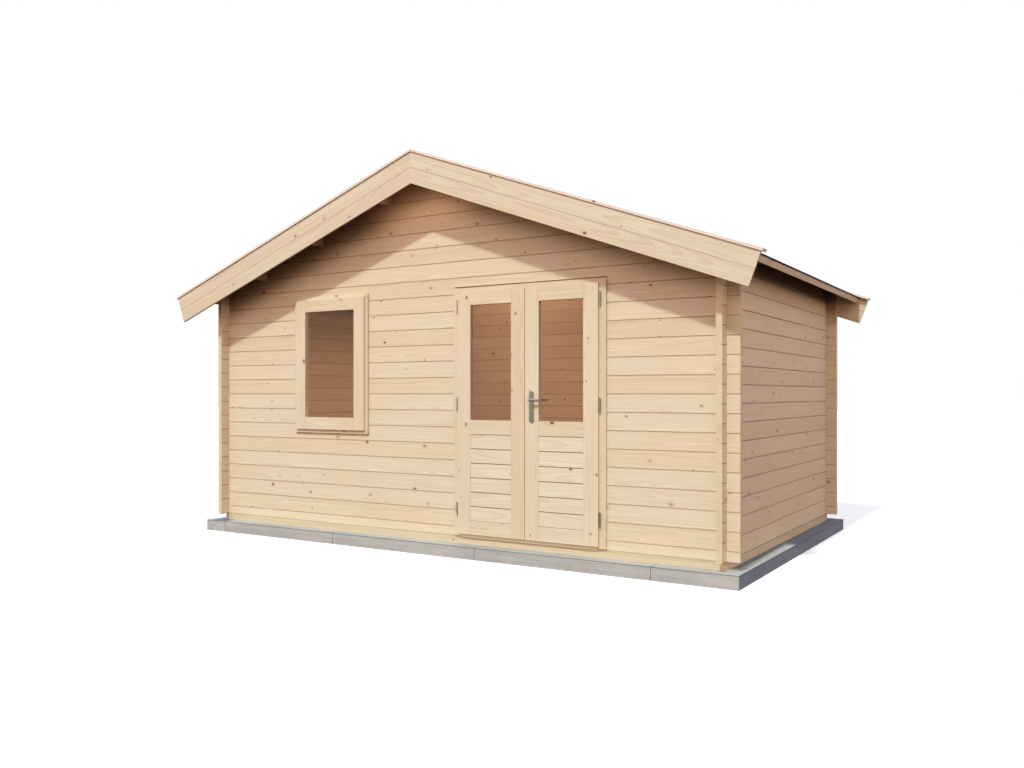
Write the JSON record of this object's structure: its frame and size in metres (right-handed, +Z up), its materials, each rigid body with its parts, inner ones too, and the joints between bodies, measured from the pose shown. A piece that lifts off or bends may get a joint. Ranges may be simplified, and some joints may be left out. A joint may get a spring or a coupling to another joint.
{
  "type": "log cabin",
  "caption": "Garden log cabin with interlocking corners, gable roof, glazed double door, one sash window, timber sole and concrete kerb.",
  "frame": {"origin": "centre of the plan at ground level, under the middle of the cabin", "axes": "+X to the right of somebody facing the door, -Y the way the door faces, +Z up"},
  "size_m": [5.6852, 3.624, 3.2799],
  "materials": {
    "concrete": "rough cast grey concrete",
    "treated_pine": "impregnated sawn pine, yellowish",
    "floor_pine": "planed pine boards",
    "log_pine": "planed untreated pine with knots",
    "roof_pine": "planed untreated pine",
    "trim_pine": "planed untreated pine",
    "joinery_pine": "planed and sanded pine",
    "panel_pine": "planed pine boards",
    "roofing_felt": "matt mineral bitumen felt",
    "glass": "clear",
    "hinge_steel": "zinc-plated, dull",
    "handle_metal": "dark satin"
  },
  "bodies": {
    "root": {"kerb_front": "concrete", "kerb_back": "concrete", "kerb_left": "concrete", "kerb_right": "concrete", "sole_beams": "treated_pine", "floor_joists": "treated_pine", "floor_boards": "floor_pine", "front_wall_left": "log_pine", "front_wall_right": "log_pine", "lintel_log": "log_pine", "front_gable": "log_pine", "back_wall": "log_pine", "back_gable": "log_pine", "left_wall": "log_pine", "right_wall": "log_pine", "ridge_purlin": "roof_pine", "left_purlins": "roof_pine", "right_purlins": "roof_pine", "left_roof_boards": "roof_pine", "right_roof_boards": "roof_pine", "left_roof_felt": "roofing_felt", "right_roof_felt": "roofing_felt", "front_barge_boards": "trim_pine", "back_barge_boards": "trim_pine", "front_verge_cover": "trim_pine", "back_verge_cover": "trim_pine", "left_eaves_board": "trim_pine", "right_eaves_board": "trim_pine", "window_frame": "joinery_pine", "window_sash": "joinery_pine", "window_glass": "glass", "door_frame": "joinery_pine", "door_threshold": "joinery_pine", "frame_hinge_halves": "hinge_steel"},
    "left_door": {"left_door_frame": "joinery_pine", "left_door_boards": "panel_pine", "left_door_glass": "glass", "left_hinge_halves": "hinge_steel"},
    "right_door": {"right_door_frame": "joinery_pine", "right_door_boards": "panel_pine", "right_door_glass": "glass", "right_hinge_halves": "hinge_steel", "handle_plates": "handle_metal"},
    "handle": {"door_handle": "handle_metal"}
  },
  "joints": [
    {"name": "left_door_swing", "type": "hinge", "parent": "root", "child": "left_door", "pos_m": [0.268, -1.531, 1.2], "axis": [0, 0, -1], "range_deg": [0, 170]},
    {"name": "right_door_swing", "type": "hinge", "parent": "root", "child": "right_door", "pos_m": [1.548, -1.531, 1.2], "axis": [0, 0, 1], "range_deg": [0, 170]},
    {"name": "handle_turn", "type": "hinge", "parent": "right_door", "child": "handle", "pos_m": [0.972, -1.52, 1.268], "axis": [0, 1, 0], "range_deg": [0, 45]}
  ]
}
